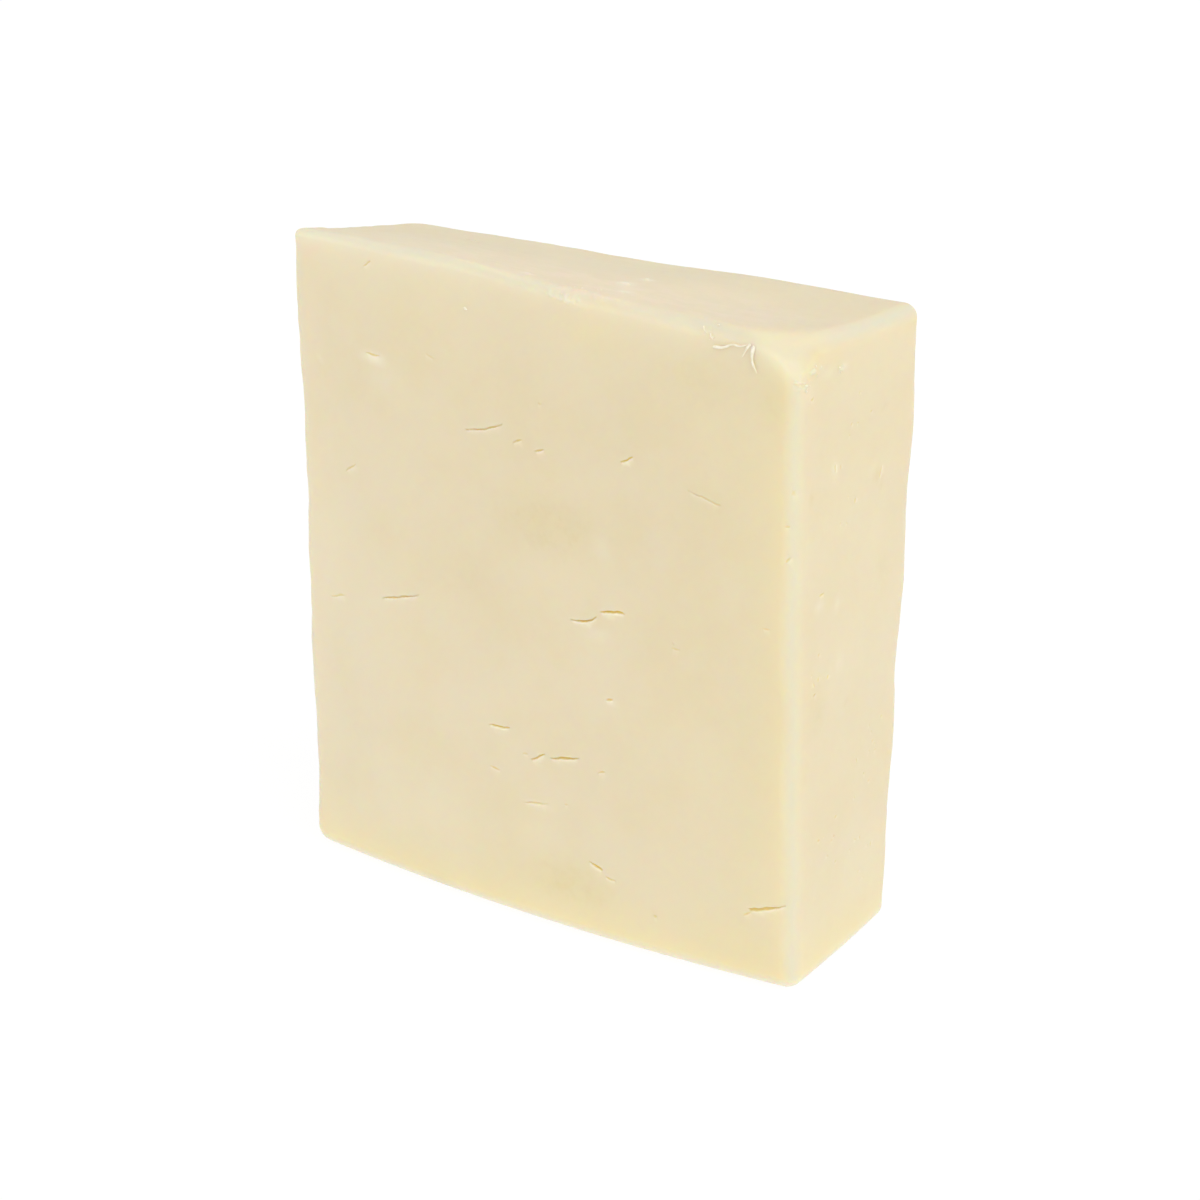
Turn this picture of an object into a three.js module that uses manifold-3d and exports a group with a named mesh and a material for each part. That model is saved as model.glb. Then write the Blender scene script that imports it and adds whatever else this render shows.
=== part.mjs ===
// A block of pale cheddar: a slab cut from a larger pressed cheese, standing on one narrow side.
// Millimetres, +Z up. The broad front face looks towards -Y, and +X runs to the right along it.
// The slab is first laid out as a plain rounded box, with its base centre at zero. settle() then gives
// every point of it the lean, bows and unevenness of a soft, hand-cut piece.
import * as THREE from "three";
import { mergeVertices } from "three/addons/utils/BufferGeometryUtils.js";
import Module from "manifold-3d";

// Driving dimensions of the plain slab
const WIDTH = 91.3;
const THICKNESS = 31.1;
const HEIGHT = 100;
const HALF = new THREE.Vector3(WIDTH, THICKNESS, HEIGHT).multiplyScalar(0.5);

// Each corner of the slab: which way it lies, how round it is, and how far it has moved from square
const CORNERS = {
  baseFrontLeft: { at: [-1, -1, -1], radius: 3.0, moved: [-0.25, -0.45, 0] },
  baseFrontRight: { at: [1, -1, -1], radius: 2.6, moved: [1.0, 0.35, 0] },
  baseBackRight: { at: [1, 1, -1], radius: 2.0, moved: [-1.25, 0, 0] },
  baseBackLeft: { at: [-1, 1, -1], radius: 3.0, moved: [0, 0, 0] },
  topFrontLeft: { at: [-1, -1, 1], radius: 1.4, moved: [-0.3, 0.65, 2.85] },
  topFrontRight: { at: [1, -1, 1], radius: 2.6, moved: [-0.9, -0.6, -0.3] },
  topBackRight: { at: [1, 1, 1], radius: 2.4, moved: [1.3, 0.4, -1.0] },
  topBackLeft: { at: [-1, 1, 1], radius: 2.6, moved: [0.45, -0.2, -1.95] },
};

// Bows of the faces: the front and the right side belly out towards the base, and the top swells in front
const FRONT_BOW = 3.1;
const SIDE_BOW = 0.3;
const TOP_SWELL = 1.3;
const SWELL_CENTRE = -0.3;
const SWELL_SPREAD = 0.35;

// The corner at the top right of the front is pressed flat: how far along each edge it is cut back
const PRESSED = new THREE.Vector3(8.3, 8.4, 6.3);
const PRESSED_BLEND = 0.8;

// Slow waves left by the cutting wire and the wrap. The base stays flat.
const WAVE_HEIGHT = 0.16;
const WAVE_LENGTHS = [58, 37, 24];
const GOLDEN_ANGLE = 2.399963;
const CALM_HEIGHT = 15;

// Mesh fineness: steps along the flats of each axis, steps in an eighth of a turn of rounding, steps round
// and into a crack, and how near two points are the same
const FLAT_STEPS = { x: 12, y: 4, z: 14 };
const ROUND_STEPS = 4;
const CRACK_STEPS = { round: 10, deep: 6 };
const SAME_POINT = 1e-4;

// Cracks between the curds that show on the front: place of the middle, across from the centre line and
// up from the base, then length, opening, tilt in degrees, and how far the middle sags below the ends
const FRONT_CRACKS = [
  { across: -30.5, up: 96.8, length: 1.9, gape: 0.5, tilt: 29, sag: 0 },
  { across: -29.7, up: 83.8, length: 3.0, gape: 0.6, tilt: 0, sag: 0.2 },
  { across: -8.4, up: 76.3, length: 7.6, gape: 0.5, tilt: 18, sag: 0.5 },
  { across: -2.2, up: 75.5, length: 1.8, gape: 0.4, tilt: 27, sag: 0 },
  { across: 1.8, up: 75.1, length: 1.7, gape: 0.4, tilt: 24, sag: 0 },
  { across: 17.3, up: 77.5, length: 2.8, gape: 0.4, tilt: 31, sag: 0 },
  { across: 30.7, up: 75.1, length: 5.4, gape: 0.4, tilt: -12, sag: 0 },
  { across: -35.1, up: 65.1, length: 2.4, gape: 0.4, tilt: 36, sag: 0 },
  { across: -24.9, up: 46.4, length: 7.5, gape: 0.6, tilt: 15, sag: 0 },
  { across: 9.7, up: 51.6, length: 4.9, gape: 0.5, tilt: 18, sag: 0.6 },
  { across: 14.9, up: 53.7, length: 4.4, gape: 0.6, tilt: 11, sag: -0.2 },
  { across: 14.9, up: 39.9, length: 1.4, gape: 0.5, tilt: 18, sag: 0 },
  { across: -5.3, up: 30.4, length: 4.3, gape: 0.5, tilt: 9, sag: 0 },
  { across: 2.0, up: 27.6, length: 3.0, gape: 0.5, tilt: 30, sag: 0 },
  { across: 6.8, up: 28.6, length: 5.5, gape: 0.6, tilt: 14, sag: 0 },
  { across: -6.4, up: 23.5, length: 2.2, gape: 0.4, tilt: -2, sag: 0 },
  { across: 13.5, up: 28.2, length: 1.4, gape: 0.4, tilt: 19, sag: 0 },
  { across: 12.2, up: 12.7, length: 2.4, gape: 0.5, tilt: -11, sag: 0 },
  { across: 14.9, up: 11.4, length: 1.9, gape: 0.4, tilt: -8, sag: 0 },
  { across: 40.6, up: 13.0, length: 5.4, gape: 0.8, tilt: 17, sag: 0.2 },
];
const SIDE_CRACKS = [
  { across: -6.4, up: 80.0, length: 1.4, gape: 0.5, tilt: 80, sag: 0 },
  { across: 5.2, up: 76.8, length: 2.4, gape: 0.5, tilt: 75, sag: 0 },
  { across: -8.7, up: 61.8, length: 1.3, gape: 0.5, tilt: 10, sag: 0 },
];

// The faces that don't show get cracks of the same kinds, spread evenly by the fractions of these numbers
const BACK_CRACKS = 14;
const LEFT_CRACKS = 4;
const SPREAD = { across: 0.75488, up: 0.56984, length: 0.61803, tilt: 0.41421 };
const SPREAD_RANGE = 0.8;
const LONGEST_CRACK = 7.5;
const SHORTEST_CRACK = 1.4;
const MEAN_TILT = 14;
const TILT_RANGE = 40;
const NARROWEST_GAPE = 0.4;
const WIDEST_GAPE = 0.6;
const SAG_RANGE = 0.5;

// A crack is about a third as deep as it is long, below a skin
const CRACK_DEPTH = { skin: 0.5, perLength: 0.3 };

const CHEESE_COLOUR = 0xe6d8b6;
const CHEESE_ROUGHNESS = 0.5;

const wasm = await Module();
wasm.setup();

// A property of the corners at a place in the slab, with s, t and u from -1 to 1 to the right, back and up.
function betweenCorners(s, t, u, valueOf) {
  return Object.values(CORNERS).reduce((sum, corner) => {
    const [right, back, up] = corner.at;
    const weight = ((1 + right * s) * (1 + back * t) * (1 + up * u)) / 8;
    return sum + weight * valueOf(corner);
  }, 0);
}

// The smaller of two numbers, with a soft change from one to the other.
function softMinimum(a, b, blend) {
  const share = THREE.MathUtils.clamp(0.5 + (b - a) / (2 * blend), 0, 1);
  return THREE.MathUtils.lerp(b, a, share) - blend * share * (1 - share);
}

// Height of the slow waves over a face, from the place on it and a number that sets one face apart
// from another.
function waves(a, b, face) {
  return WAVE_LENGTHS.reduce((sum, length, k) => {
    const heading = GOLDEN_ANGLE * (k + 1) + face;
    const along = a * Math.cos(heading) + b * Math.sin(heading);
    return sum + Math.sin((2 * Math.PI * along) / length + heading);
  }, 0);
}

// Pushes what stands past the pressed corner's plane back onto it.
function pressCorner(p) {
  const moved = new THREE.Vector3(...CORNERS.topFrontRight.moved);
  const corner = new THREE.Vector3(HALF.x, -HALF.y, HEIGHT).add(moved);
  const slope = new THREE.Vector3(1 / PRESSED.x, -1 / PRESSED.y, 1 / PRESSED.z);
  const outside = p.clone().sub(corner).dot(slope) + 1;
  const distance = outside / slope.length();
  const kept = softMinimum(distance, 0, PRESSED_BLEND);
  return p.addScaledVector(slope.normalize(), kept - distance);
}

// Moves a point of the plain slab to its place in the real one.
function settle(plain) {
  const s = plain.x / HALF.x;
  const t = plain.y / HALF.y;
  const u = plain.z / HALF.z - 1;
  const low = (1 - u) / 2;
  const front = (1 - t) / 2;
  const right = (1 + s) / 2;
  const moved = [0, 1, 2].map((k) => betweenCorners(s, t, u, (corner) => corner.moved[k]));
  const p = plain.clone().add(new THREE.Vector3(...moved));
  p.y -= FRONT_BOW * low * front * (1 - s * s);
  p.x += SIDE_BOW * low * right * (1 - t * t);
  p.z += TOP_SWELL * (1 - low) * front * Math.exp(-(((s - SWELL_CENTRE) / SWELL_SPREAD) ** 2));
  const wave = WAVE_HEIGHT * THREE.MathUtils.smoothstep(plain.z, 0, CALM_HEIGHT);
  p.x += wave * waves(plain.y, plain.z, s);
  p.y += wave * waves(plain.x, plain.z, t);
  p.z += wave * waves(plain.x, plain.y, u);
  return pressCorner(p);
}

// Applies a function to every vertex and leaves only merged positions.
function reshape(geometry, change) {
  const position = geometry.getAttribute("position");
  const p = new THREE.Vector3();
  for (let i = 0; i < position.count; i++) {
    const moved = change(p.fromBufferAttribute(position, i));
    position.setXYZ(i, moved.x, moved.y, moved.z);
  }
  geometry.deleteAttribute("normal");
  geometry.deleteAttribute("uv");
  return mergeVertices(geometry, SAME_POINT);
}

// Where a grid line of the box lies: its share of the flat, and its slope into the rounding at either end.
function gridLine(value, flatSteps) {
  const index = Math.round(((value + 1) / 2) * (flatSteps + 2 * ROUND_STEPS));
  const fromStart = index - ROUND_STEPS;
  const flat = (2 * THREE.MathUtils.clamp(fromStart, 0, flatSteps)) / flatSteps - 1;
  const steps = fromStart < 0 ? fromStart : Math.max(fromStart - flatSteps, 0);
  return { flat, slope: Math.tan(((Math.PI / 4) * steps) / ROUND_STEPS) };
}

// The slab itself: a box whose edges are rounded by the radius of the nearest corners, then settled.
function slab() {
  const steps = ["x", "y", "z"].map((axis) => FLAT_STEPS[axis] + 2 * ROUND_STEPS);
  return reshape(new THREE.BoxGeometry(2, 2, 2, ...steps), (v) => {
    const [x, y, z] = ["x", "y", "z"].map((axis) => gridLine(v[axis], FLAT_STEPS[axis]));
    const radius = betweenCorners(x.flat, y.flat, z.flat, (corner) => corner.radius);
    const outward = new THREE.Vector3(x.slope, y.slope, z.slope).normalize();
    const core = HALF.clone().subScalar(radius).multiply(new THREE.Vector3(x.flat, y.flat, z.flat));
    const plain = core.addScaledVector(outward, radius);
    plain.z += HALF.z;
    return settle(plain);
  });
}

// The faces that carry cracks, each as its middle at the base, its way across and its way out.
const FACES = {
  front: { middle: [0, -HALF.y, 0], across: [1, 0, 0], out: [0, -1, 0] },
  side: { middle: [HALF.x, 0, 0], across: [0, 1, 0], out: [1, 0, 0] },
  back: { middle: [0, HALF.y, 0], across: [-1, 0, 0], out: [0, 1, 0] },
  left: { middle: [-HALF.x, 0, 0], across: [0, -1, 0], out: [-1, 0, 0] },
};

// The space of one crack: a thin, bent lens that is sunk half into its face and settled with the slab.
function crackSpace(face, crack) {
  const across = new THREE.Vector3(...face.across);
  const out = new THREE.Vector3(...face.out);
  const up = new THREE.Vector3(0, 0, 1);
  const middle = new THREE.Vector3(...face.middle)
    .addScaledVector(across, crack.across)
    .addScaledVector(up, crack.up);
  const tilt = THREE.MathUtils.degToRad(crack.tilt);
  const along = across.clone().multiplyScalar(Math.cos(tilt)).addScaledVector(up, Math.sin(tilt));
  const over = across.clone().multiplyScalar(-Math.sin(tilt)).addScaledVector(up, Math.cos(tilt));
  const depth = CRACK_DEPTH.skin + CRACK_DEPTH.perLength * crack.length;
  const ball = new THREE.SphereGeometry(1, CRACK_STEPS.round, CRACK_STEPS.deep);
  return reshape(ball, (v) => {
    const rise = (crack.gape / 2) * v.z - crack.sag * (1 - v.x * v.x);
    const plain = middle
      .clone()
      .addScaledVector(along, (crack.length / 2) * v.x)
      .addScaledVector(over, rise)
      .addScaledVector(out, -depth * v.y);
    return settle(plain);
  });
}

// Cracks for a face that doesn't show, one after another by the spread's fractions.
function spreadCracks(count, faceWidth) {
  const fraction = (k, step) => (k * step) % 1;
  return Array.from({ length: count }, (_, i) => {
    const k = i + 1;
    const size = fraction(k, SPREAD.length) ** 2;
    return {
      across: (fraction(k, SPREAD.across) - 0.5) * SPREAD_RANGE * faceWidth,
      up: (0.5 + (fraction(k, SPREAD.up) - 0.5) * SPREAD_RANGE) * HEIGHT,
      length: THREE.MathUtils.lerp(SHORTEST_CRACK, LONGEST_CRACK, size),
      gape: THREE.MathUtils.lerp(NARROWEST_GAPE, WIDEST_GAPE, size),
      tilt: MEAN_TILT + (fraction(k, SPREAD.tilt) - 0.5) * TILT_RANGE,
      sag: (fraction(k, SPREAD.tilt) - 0.5) * SAG_RANGE,
    };
  });
}

// A closed geometry as a solid for cutting.
function solidOf(geometry) {
  const triVerts = new Uint32Array(geometry.index.array);
  const vertProperties = new Float32Array(geometry.getAttribute("position").array);
  return new wasm.Manifold(new wasm.Mesh({ numProp: 3, vertProperties, triVerts }));
}

// A solid's surface as a geometry that stands centred on the origin.
function geometryOf(solid) {
  const { vertProperties, triVerts } = solid.getMesh();
  const geometry = new THREE.BufferGeometry();
  geometry.setAttribute("position", new THREE.BufferAttribute(vertProperties, 3));
  geometry.setIndex(new THREE.BufferAttribute(triVerts, 1));
  geometry.computeBoundingBox();
  const centre = geometry.boundingBox.getCenter(new THREE.Vector3());
  geometry.translate(-centre.x, -centre.y, -geometry.boundingBox.min.z);
  geometry.computeVertexNormals();
  return geometry;
}

// The whole block: the slab with the space of every crack cut out of it.
function cheddarBlock() {
  const cracks = [
    ...FRONT_CRACKS.map((crack) => crackSpace(FACES.front, crack)),
    ...SIDE_CRACKS.map((crack) => crackSpace(FACES.side, crack)),
    ...spreadCracks(BACK_CRACKS, WIDTH).map((crack) => crackSpace(FACES.back, crack)),
    ...spreadCracks(LEFT_CRACKS, THICKNESS).map((crack) => crackSpace(FACES.left, crack)),
  ];
  const cut = cracks.reduce((solid, crack) => solid.subtract(solidOf(crack)), solidOf(slab()));
  const cheese = new THREE.MeshStandardMaterial({
    color: CHEESE_COLOUR,
    roughness: CHEESE_ROUGHNESS,
    metalness: 0,
  });
  const mesh = new THREE.Mesh(geometryOf(cut), cheese);
  mesh.name = "cheddar_block";
  return mesh;
}

const group = new THREE.Group();
group.add(cheddarBlock());

export default group;
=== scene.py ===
# Looks of the cheddar block: a soft, hand-cut slab with cracks, a smear, shreds and crumbs on its surface.
# The form is laid out in millimetres as a plain rounded slab with its base centre at zero, then settled as
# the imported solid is, and set into the frame in metres.
import math
from collections import namedtuple

import bmesh
import bpy
import numpy as np
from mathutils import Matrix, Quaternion, Vector, kdtree, noise
from mathutils.bvhtree import BVHTree


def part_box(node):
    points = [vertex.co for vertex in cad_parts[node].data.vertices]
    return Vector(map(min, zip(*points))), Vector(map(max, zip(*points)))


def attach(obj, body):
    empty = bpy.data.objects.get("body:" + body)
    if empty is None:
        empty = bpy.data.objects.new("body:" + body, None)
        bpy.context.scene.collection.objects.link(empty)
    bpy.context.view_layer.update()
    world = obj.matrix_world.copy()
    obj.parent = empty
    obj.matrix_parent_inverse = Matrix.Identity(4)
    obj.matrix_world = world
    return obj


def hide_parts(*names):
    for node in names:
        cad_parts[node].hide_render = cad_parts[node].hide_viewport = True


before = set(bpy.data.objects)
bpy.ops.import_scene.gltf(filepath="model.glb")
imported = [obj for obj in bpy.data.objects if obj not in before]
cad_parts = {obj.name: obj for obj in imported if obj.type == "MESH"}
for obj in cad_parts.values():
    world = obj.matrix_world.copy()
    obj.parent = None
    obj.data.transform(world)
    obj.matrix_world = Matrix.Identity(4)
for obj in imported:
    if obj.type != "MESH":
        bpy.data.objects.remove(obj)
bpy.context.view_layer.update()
MM = 0.001
BLOCK = "cheddar_block"
SEED = 27

# Driving dimensions of the plain slab
WIDTH = 91.3
THICKNESS = 31.1
HEIGHT = 100.0
HALF = np.array([WIDTH, THICKNESS, HEIGHT]) / 2

# Corners of the slab: which way each lies to the right, back and up, how round it is, and how far it moved
Corner = namedtuple("Corner", "at radius moved")
CORNERS = [
    Corner((-1, -1, -1), 3.0, (-0.25, -0.45, 0)),
    Corner((1, -1, -1), 2.6, (1.0, 0.35, 0)),
    Corner((1, 1, -1), 2.0, (-1.25, 0, 0)),
    Corner((-1, 1, -1), 3.0, (0, 0, 0)),
    Corner((-1, -1, 1), 1.4, (-0.3, 0.65, 2.85)),
    Corner((1, -1, 1), 2.6, (-0.9, -0.6, -0.3)),
    Corner((1, 1, 1), 2.4, (1.3, 0.4, -1.0)),
    Corner((-1, 1, 1), 2.6, (0.45, -0.2, -1.95)),
]
CORNER_RADII = [corner.radius for corner in CORNERS]
CORNER_MOVES = [corner.moved for corner in CORNERS]

# The corner that is pressed flat: how far along its edges, how softly it meets the faces, and from where
# to where beside its plane its colour comes in
PRESSED_CORNER = CORNERS[5]
PRESSED = np.array([8.3, 8.4, 6.3])
PRESSED_BLEND = 1.7
PRESSED_FROM = (-1.6, 0.7)

# Bows of the faces, and the slow waves that the cutting left in them
FRONT_BOW = 3.1
SIDE_BOW = 0.3
TOP_SWELL = 1.3
SWELL_CENTRE = -0.3
SWELL_SPREAD = 0.35
WAVE_HEIGHT = 0.16
WAVE_LENGTHS = (58, 37, 24)
GOLDEN_ANGLE = 2.399963
CALM_HEIGHT = 15

# Mesh fineness: steps along the flats, and steps in an eighth of a turn
FLAT_STEPS = (86, 28, 94)
ROUND_STEPS = 7

# Finer mesh at small marks: its spacing, how far apart the places that it surrounds are, and how far round
# them it reaches, for flakes as a share of their patch
CRACK_SPACING = 0.14
CRACK_STEP = 0.4
CRACK_REACH = 0.4
SMEAR_MARGIN = 0.5
SMEAR_REACH = 0.9
FLAKE_SPACING = 0.25
FLAKE_STEP = 0.5
FLAKE_REACH = 1.5
MARK_PASSES = 4

# The larger cracks between the curds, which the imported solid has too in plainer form: place of the middle on
# the face, across from its centre line and up from the base, then length, opening, tilt in degrees, how far
# the middle sags below the ends, how deep it is beside others, and how much wider the left end is
Crack = namedtuple("Crack", "across up length gape tilt sag depth taper", defaults=(1.0, 0.0))
FRONT_CRACKS = [
    Crack(-30.5, 96.8, 1.9, 0.4, 29, 0, 0.6),
    Crack(-29.7, 83.8, 3.0, 0.45, 0, 0.2, 0.65),
    Crack(-8.4, 76.3, 7.6, 0.34, 18, 0.5, 0.6, -0.4),
    Crack(-2.2, 75.5, 1.8, 0.4, 27, 0, 0.6),
    Crack(1.8, 75.1, 1.7, 0.4, 24, 0, 0.7),
    Crack(17.3, 77.5, 2.8, 0.42, 31, 0, 1.1),
    Crack(30.7, 75.1, 5.4, 0.28, -12, 0, 0.35, -0.5),
    Crack(-35.1, 65.1, 2.4, 0.4, 36, 0, 0.5),
    Crack(-24.9, 46.4, 7.5, 0.4, 13, 0, 0.55, 0.4),
    Crack(9.7, 51.6, 4.9, 0.42, 18, 0.6),
    Crack(14.5, 53.4, 4.4, 0.6, 11, -0.2, 1.1, -0.2),
    Crack(14.9, 39.9, 1.4, 0.5, 18, 0, 0.7),
    Crack(-5.3, 30.4, 4.3, 0.45, 9, 0, 0.8, -0.3),
    Crack(2.0, 27.6, 3.0, 0.45, 30, 0, 0.8),
    Crack(6.8, 28.6, 5.5, 0.58, 14, 0, 0.8),
    Crack(-6.4, 23.5, 2.2, 0.4, -2, 0, 0.5),
    Crack(13.5, 28.2, 1.4, 0.4, 19, 0, 0.5),
    Crack(12.2, 12.7, 2.6, 0.55, -11, 0, 0.9, -0.6),
    Crack(14.9, 11.4, 1.9, 0.4, -8, 0, 0.6),
    Crack(41.4, 13.5, 6.2, 0.7, 21, 0.1, 0.75, 0.8),
]
SIDE_CRACKS = [
    Crack(-6.4, 80.0, 1.4, 0.5, 80, 0, 0.5),
    Crack(5.2, 76.8, 2.4, 0.5, 75, 0, 0.4),
    Crack(-8.7, 61.8, 1.3, 0.5, 10, 0, 0.4),
]
# Fainter cracks and pinholes, too shallow for the solid
FAINT = 0.3
FAINTEST = 0.15
FRONT_FAINT = [
    Crack(-18.4, 85.2, 1.6, 0.4, -16, 0, FAINTEST),
    Crack(-38.1, 43.8, 3.4, 0.5, 18, 0, FAINT),
    Crack(1.2, 20.0, 4.7, 0.5, 9, 0, FAINT),
    Crack(41.3, 57.4, 1.2, 0.4, 10, 0, FAINT),
    Crack(-0.3, 27.5, 1.0, 0.4, 10, 0, FAINT),
    Crack(25.8, 50.5, 1.2, 0.4, 1, 0, FAINT),
    Crack(7.0, 21.2, 0.7, 0.5, 0, 0, FAINT),
    Crack(2.0, 82.1, 0.7, 0.5, 0, 0, FAINTEST),
    Crack(44.2, 68.6, 1.0, 0.6, 60, 0, FAINT),
    Crack(44.9, 78.6, 0.8, 0.5, 40, 0, FAINT),
    Crack(44.1, 73.7, 0.7, 0.5, 10, 0, FAINTEST),
    Crack(22.8, 7.3, 0.6, 0.9, 0, 0, FAINT),
    Crack(38.2, 11.6, 1.6, 0.4, 40, 0, FAINT),
]
SIDE_FAINT = [
    Crack(-7.2, 48.6, 0.8, 0.5, 60, 0, FAINT),
    Crack(-10.9, 46.9, 0.7, 0.5, 30, 0, FAINT),
    Crack(-12.2, 91.6, 1.0, 0.6, 20, 0, FAINT),
]

# The faces that don't show get cracks of the same kinds, spread evenly by the fractions of these numbers
BACK_CRACKS = 14
LEFT_CRACKS = 4
SPREAD = {"across": 0.75488, "up": 0.56984, "length": 0.61803, "tilt": 0.41421}
SPREAD_RANGE = 0.8
LONGEST_CRACK = 7.5
SHORTEST_CRACK = 1.4
MEAN_TILT = 14
TILT_RANGE = 40
NARROWEST_GAPE = 0.4
WIDEST_GAPE = 0.6
SAG_RANGE = 0.5

# Specks: short shallow pits strewn over a face in loose groups
SPECK_GROUPS = 8
SPECKS_IN_GROUP = 5
SPECK_APART = 2.4
SPECK_LENGTH = (0.3, 0.9)
SPECK_GAPE = (0.35, 0.7)
SPECK_DEPTH = (0.08, 0.3)
SPECK_TILT = (-90, 90)

# Shape of a crack: how far its lips have closed up, its depth, its walls, and how it narrows to its ends
CLOSED_UP = 0.62
CRACK_SKIN = 0.18
CRACK_DEPTH_PER_LENGTH = 0.04
WALL_POWER = 4
END_POWER = 0.7
WEDGE_POWER = 0.4
THINNEST_GAPE = 0.01

# How a crack's path and its opening wander
CRACK_WANDER = 0.09
GAPE_CHANGE = 0.3
GAPE_START = 5
RIPPLE_LENGTHS = (3.1, 1.7, 0.9)
RIPPLE_SIZE = 1.6

# A crack's raised lips, the upper one lower and less pale, the pale lower one partly a painted highlight, and
# how much of the painted shade inside and of the pale lips the shallowest cracks have
LIP_WIDTH = 0.4
LIP_HEIGHT = 0.05
LIP_REACH = 3 * LIP_WIDTH
LIP_END = 0.5
UPPER_LIP = 0.15
SHALLOW_GOLD = 0.15
SHALLOW_LIPS = 0.2

# Fine unevenness: its size along the surface, its height, how many finer layers it has, and its own start
Grain = namedtuple("Grain", "size height layers start")
FACE_GRAIN = Grain(5.0, 0.05, 3, SEED)
EDGE_WANDER = Grain(9.0, 0.20, 2, SEED + 10)
EDGE_GRAIN = Grain(2.2, 0.07, 3, SEED + 20)
FLAKE_GRAIN = Grain(1.0, 0.22, 3, SEED + 30)
LAYER_FADE = 1
LAYER_STEP = 2
CALM_BASE = 3

# How squarely a point has to look out of a face to belong to it: where that starts and where it is full
CRACK_LOOK = 0.3
FACE_LOOK = (0.1, 0.7)
PATCH_LOOK = (0.3, 0.9)
SMEAR_LOOK = (0.05, 0.6)
FAR_LOOK = (0, 0.6)
TOP_LOOK = (0.2, 0.7)
BASE_LOOK = (0.93, 1)

# How wide the uneven edges are
EDGE_CORE = 0.3
EDGE_WIDTH = 2.4

# Pale bands along the edges, a painted sheen on the rounding that is weaker on the far faces turned from the
# lamps, and the height where the top edge's band takes over, painted duller as shade against the stronger
# light there
EDGE_SHEEN = 0.85
FAR_LESS_SHEEN = 0.6
BAND_CORE = 0.3
BAND_WIDTH = 2.8
TOP_BAND = (HEIGHT - 5, HEIGHT - 2)

# The pale fade under the top edge of a broad face, and below it a yellower glow, painted light that shines
# through the thin edge
FADE_PALE = 0.75
FADE_WAX = 0.35
FADE_WIDTH = 3.0
GLOW_BUTTER = 0.28
GLOW_WIDTH = 6.0

# Painted light: the yellower glow of light through the thin rim before the right edge of a broad face and
# above the base, and the paler rim of the base, painted as light from the floor below
RIM_WIDTH = 6.5
RIM_BUTTER = 0.58
LOW_WIDTH = 5.5
LOW_PALE = 1.0
LOW_PALE_FROM = 0.2
LOW_PALE_WIDTH = 2.9

# The ragged lip that was smeared over the top edge of the front: where it starts and stops along the edge
# and over what lengths, how low it hangs, how it slopes, and how ragged, thick and waxy it is
SMEAR_FROM = 1.4
SMEAR_FULL = 2
SMEAR_TO = 9.2
SMEAR_FADE = 3
SMEAR_LOW = 98.3
SMEAR_SLOPE = -0.1
SMEAR_RAGGED = 0.14
FINER_RAGS = 2.3
SMEAR_BRINK = 0.15
SMEAR_HEIGHT = 0.14
SMEAR_WAX = 0.8

# The rubbed stretch of edge round that lip: how far before it, up to where, how high, and how scraped it is
RUBBED_BEFORE = 3
RUBBED_TO = 17.0
RUBBED_FADE = 5
RUBBED_UP = (98, 99)
RUBBED_SCRAPED = 0.25

# Loose flakes of the rubbed places: where they leave off, how broken up they are, and how waxy
FLAKE_LIMIT = 0.02
FLAKE_GAPS = (-0.1, 0.45)
FLAKE_WAX = 0.7

# Camera: where it stands round the point half way up the slab, and how far that is off the picture's middle
LENS = 85
SENSOR = 36
AZIMUTH = 34.996
ELEVATION = 21.086
DISTANCE = 437.56
OFF_MIDDLE = (-0.714, 2.226)


def ramp(value, low, high):
    """0 below low, 1 above high, and a smooth rise between them."""
    share = np.clip((value - low) / (high - low), 0, 1)
    return share * share * (3 - 2 * share)


def slab_shares(plain):
    """Places in the plain slab as shares from -1 to 1 to the right, back and up."""
    return plain / HALF - (0, 0, 1)


def between_corners(share, values):
    """A property of the corners at places in the slab, given as its shares."""
    total = 0
    for corner, value in zip(CORNERS, values):
        weight = np.prod(1 + share * np.array(corner.at), axis=1) / len(CORNERS)
        total = total + np.multiply.outer(weight, np.asarray(value, float))
    return total


def soft_minimum(a, b, blend):
    """The smaller of two numbers, with a soft change from one to the other."""
    share = np.clip(0.5 + (b - a) / (2 * blend), 0, 1)
    return b + (a - b) * share - blend * share * (1 - share)


def waves(a, b, face):
    """Height of the slow waves at places on a face, with a number that sets one face apart from another."""
    total = 0
    for k, length in enumerate(WAVE_LENGTHS):
        heading = GOLDEN_ANGLE * (k + 1) + face
        along = a * np.cos(heading) + b * np.sin(heading)
        total = total + np.sin(2 * math.pi * along / length + heading)
    return total


def past_pressed_plane(points):
    """How far points stand past the pressed corner's plane, and the way out of it."""
    corner = np.array([HALF[0], -HALF[1], HEIGHT]) + PRESSED_CORNER.moved
    slope = np.array([1, -1, 1]) / PRESSED
    steepness = np.linalg.norm(slope)
    return ((points - corner) @ slope + 1) / steepness, slope / steepness


def press_corner(points):
    """Pushes what stands past the pressed corner's plane back onto it."""
    distance, out = past_pressed_plane(points)
    kept = soft_minimum(distance, 0, PRESSED_BLEND)
    return points + np.multiply.outer(kept - distance, out)


def move_with_corners(plain):
    """Moves points of the plain slab as the corners round them moved."""
    return plain + between_corners(slab_shares(plain), CORNER_MOVES)


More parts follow.
